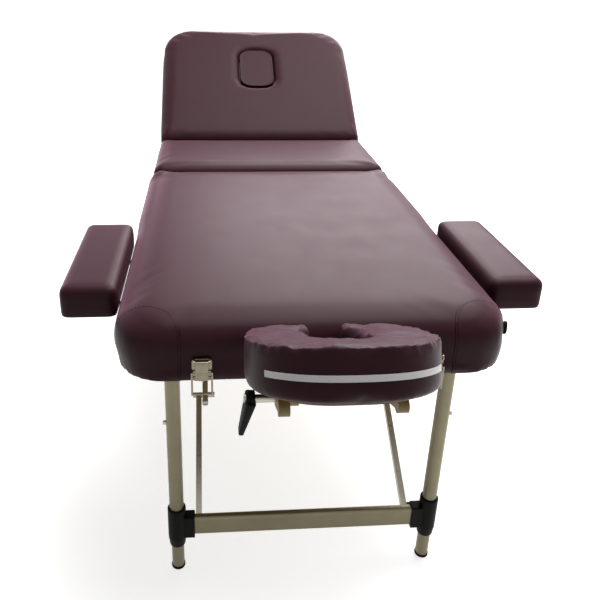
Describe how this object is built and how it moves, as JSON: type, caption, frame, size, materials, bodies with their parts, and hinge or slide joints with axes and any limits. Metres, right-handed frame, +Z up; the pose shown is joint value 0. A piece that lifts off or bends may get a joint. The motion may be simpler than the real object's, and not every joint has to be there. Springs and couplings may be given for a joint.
{
  "type": "folding massage table",
  "caption": "Portable three-section treatment table with raised backrest, headrest, side armrests and folding aluminium legs; shuts to a case.",
  "frame": {"origin": "centre of the overall box on the floor, with the backrest raised and the headrest fitted", "axes": "+Y from the headrest end to the backrest end, +X to the right seen from the headrest end, +Z up"},
  "size_m": [0.924, 2.1416, 0.9069],
  "materials": {
    "vinyl": "satin vinyl",
    "plywood": "clear lacquer",
    "leg_aluminium": "satin anodised",
    "steel": "zinc plated",
    "nickel": "nickel plated",
    "black_plastic": "fine grain",
    "rubber": "matt"
  },
  "bodies": {
    "main_half": {"pad_main": "vinyl", "deck_main": "plywood", "side_rails_main": "plywood", "cross_rails_main": "plywood", "pivot_blocks_front": "plywood", "brackets_main": "steel", "latch_bases": "nickel", "bumpers_main": "rubber"},
    "back_half": {"pad_strip": "vinyl", "deck_strip": "plywood", "apron_back": "vinyl", "side_rails_back": "plywood", "cross_rails_back": "plywood", "pivot_blocks_rear": "plywood", "brackets_back": "steel", "prop_racks": "plywood", "latch_keepers": "steel", "bumpers_back": "rubber"},
    "backrest": {"pad_backrest": "vinyl", "deck_backrest": "plywood", "backrest_brackets": "steel"},
    "plug": {"face_plug": "vinyl"},
    "prop": {"prop_board": "plywood"},
    "front_leg_frame": {"leg_fl": "leg_aluminium", "leg_fr": "leg_aluminium", "crossbar_front": "leg_aluminium", "connectors_front": "black_plastic"},
    "rear_leg_frame": {"leg_rl": "leg_aluminium", "leg_rr": "leg_aluminium", "crossbar_rear": "leg_aluminium", "connectors_rear": "black_plastic"},
    "front_lower_links": {"lower_link_fl": "steel", "lower_link_fr": "steel"},
    "front_upper_links": {"upper_link_fl": "steel", "upper_link_fr": "steel"},
    "rear_lower_links": {"lower_link_rl": "steel", "lower_link_rr": "steel"},
    "rear_upper_links": {"upper_link_rl": "steel", "upper_link_rr": "steel"},
    "head_carriage": {"head_rods": "steel", "head_arms": "plywood"},
    "headrest": {"head_board": "plywood", "head_cushion": "vinyl"},
    "head_cam": {"head_lever": "black_plastic"},
    "armrest_left": {"arm_pad_l": "vinyl", "arm_frame_l": "steel"},
    "armrest_right": {"arm_pad_r": "vinyl", "arm_frame_r": "steel"},
    "foot_body_fl": {"foot_fl": "leg_aluminium"},
    "button_body_fl": {"button_fl": "steel"},
    "foot_body_fr": {"foot_fr": "leg_aluminium"},
    "button_body_fr": {"button_fr": "steel"},
    "foot_body_rl": {"foot_rl": "leg_aluminium"},
    "button_body_rl": {"button_rl": "steel"},
    "foot_body_rr": {"foot_rr": "leg_aluminium"},
    "button_body_rr": {"button_rr": "steel"},
    "latch_left": {"latch_lever_l": "nickel"},
    "bail_left": {"latch_bail_l": "nickel"},
    "latch_right": {"latch_lever_r": "nickel"},
    "bail_right": {"latch_bail_r": "nickel"}
  },
  "joints": [
    {"name": "table_fold", "type": "hinge", "parent": "main_half", "child": "back_half", "pos_m": [0, 0.13879, 0.483], "axis": [-1, 0, 0], "range_deg": [0, 180]},
    {"name": "front_leg_fold", "type": "hinge", "parent": "main_half", "child": "front_leg_frame", "pos_m": [0, -0.72921, 0.506], "axis": [1, 0, 0], "range_deg": [0, 90.01]},
    {"name": "front_lower_link_swing", "type": "hinge", "parent": "front_leg_frame", "child": "front_lower_links", "pos_m": [0, -0.71021, 0.108], "axis": [1, 0, 0], "range_deg": [0, 56.2]},
    {"name": "front_upper_link_swing", "type": "hinge", "parent": "main_half", "child": "front_upper_links", "pos_m": [0, -0.08721, 0.525], "axis": [-1, 0, 0], "range_deg": [0, 33.8]},
    {"name": "foot_slide_fl", "type": "slide", "parent": "front_leg_frame", "child": "foot_body_fl", "axis": [0, 0, -1], "range_m": [0, 0.18]},
    {"name": "button_press_fl", "type": "slide", "parent": "foot_body_fl", "child": "button_body_fl", "axis": [1, 0, 0], "range_m": [0, 0.008], "stiffness_N_per_m": 300, "springref_m": -0.004},
    {"name": "foot_slide_fr", "type": "slide", "parent": "front_leg_frame", "child": "foot_body_fr", "axis": [0, 0, -1], "range_m": [0, 0.18]},
    {"name": "button_press_fr", "type": "slide", "parent": "foot_body_fr", "child": "button_body_fr", "axis": [-1, 0, 0], "range_m": [0, 0.008], "stiffness_N_per_m": 300, "springref_m": -0.004},
    {"name": "rear_leg_fold", "type": "hinge", "parent": "back_half", "child": "rear_leg_frame", "pos_m": [0, 1.00679, 0.506], "axis": [-1, 0, 0], "range_deg": [0, 90.01]},
    {"name": "rear_lower_link_swing", "type": "hinge", "parent": "rear_leg_frame", "child": "rear_lower_links", "pos_m": [0, 0.98779, 0.108], "axis": [-1, 0, 0], "range_deg": [0, 56.2]},
    {"name": "rear_upper_link_swing", "type": "hinge", "parent": "back_half", "child": "rear_upper_links", "pos_m": [0, 0.36479, 0.525], "axis": [1, 0, 0], "range_deg": [0, 33.8]},
    {"name": "foot_slide_rl", "type": "slide", "parent": "rear_leg_frame", "child": "foot_body_rl", "axis": [0, 0, -1], "range_m": [0, 0.18]},
    {"name": "button_press_rl", "type": "slide", "parent": "foot_body_rl", "child": "button_body_rl", "axis": [1, 0, 0], "range_m": [0, 0.008], "stiffness_N_per_m": 300, "springref_m": -0.004},
    {"name": "foot_slide_rr", "type": "slide", "parent": "rear_leg_frame", "child": "foot_body_rr", "axis": [0, 0, -1], "range_m": [0, 0.18]},
    {"name": "button_press_rr", "type": "slide", "parent": "foot_body_rr", "child": "button_body_rr", "axis": [-1, 0, 0], "range_m": [0, 0.008], "stiffness_N_per_m": 300, "springref_m": -0.004},
    {"name": "backrest_hinge", "type": "hinge", "parent": "back_half", "child": "backrest", "pos_m": [0, 0.48679, 0.566], "axis": [1, 0, 0], "range_deg": [-34.9, 25]},
    {"name": "prop_swing", "type": "hinge", "parent": "backrest", "child": "prop", "pos_m": [0, 0.72181, 0.68539], "axis": [1, 0, 0], "range_deg": [-51, 71]},
    {"name": "plug_lift", "type": "slide", "parent": "backrest", "child": "plug", "axis": [0, -0.5736, 0.8192], "range_m": [0, 0.06]},
    {"name": "headrest_pull", "type": "slide", "parent": "main_half", "child": "head_carriage", "axis": [0, -1, 0], "range_m": [0, 0.11]},
    {"name": "headrest_tilt", "type": "hinge", "parent": "head_carriage", "child": "headrest", "pos_m": [0, -0.93621, 0.562], "axis": [-1, 0, 0], "range_deg": [-40, 2]},
    {"name": "headrest_cam", "type": "hinge", "parent": "head_carriage", "child": "head_cam", "pos_m": [0, -0.93621, 0.562], "axis": [-1, 0, 0], "range_deg": [0, 100]},
    {"name": "armrest_pull_left", "type": "slide", "parent": "main_half", "child": "armrest_left", "axis": [-1, 0, 0], "range_m": [0, 0.075]},
    {"name": "armrest_pull_right", "type": "slide", "parent": "main_half", "child": "armrest_right", "axis": [1, 0, 0], "range_m": [0, 0.075]},
    {"name": "latch_swing_left", "type": "hinge", "parent": "main_half", "child": "latch_left", "pos_m": [-0.2, -0.79371, 0.529], "axis": [-1, 0, 0], "range_deg": [0, 110]},
    {"name": "bail_swing_left", "type": "hinge", "parent": "latch_left", "child": "bail_left", "pos_m": [-0.2, -0.79371, 0.509], "axis": [-1, 0, 0], "range_deg": [0, 80]},
    {"name": "latch_swing_right", "type": "hinge", "parent": "main_half", "child": "latch_right", "pos_m": [0.2, -0.79371, 0.529], "axis": [-1, 0, 0], "range_deg": [0, 110]},
    {"name": "bail_swing_right", "type": "hinge", "parent": "latch_right", "child": "bail_right", "pos_m": [0.2, -0.79371, 0.509], "axis": [-1, 0, 0], "range_deg": [0, 80]}
  ],
  "couplings": [
    {"joint": "front_leg_fold", "follows": "table_fold", "ratio": 0.5},
    {"joint": "front_lower_link_swing", "follows": "table_fold", "ratio": 0.31224},
    {"joint": "front_upper_link_swing", "follows": "table_fold", "ratio": 0.18776},
    {"joint": "rear_leg_fold", "follows": "table_fold", "ratio": 0.5},
    {"joint": "rear_lower_link_swing", "follows": "table_fold", "ratio": 0.31224},
    {"joint": "rear_upper_link_swing", "follows": "table_fold", "ratio": 0.18776},
    {"joint": "prop_swing", "follows": "backrest_hinge", "ratio": -2}
  ]
}
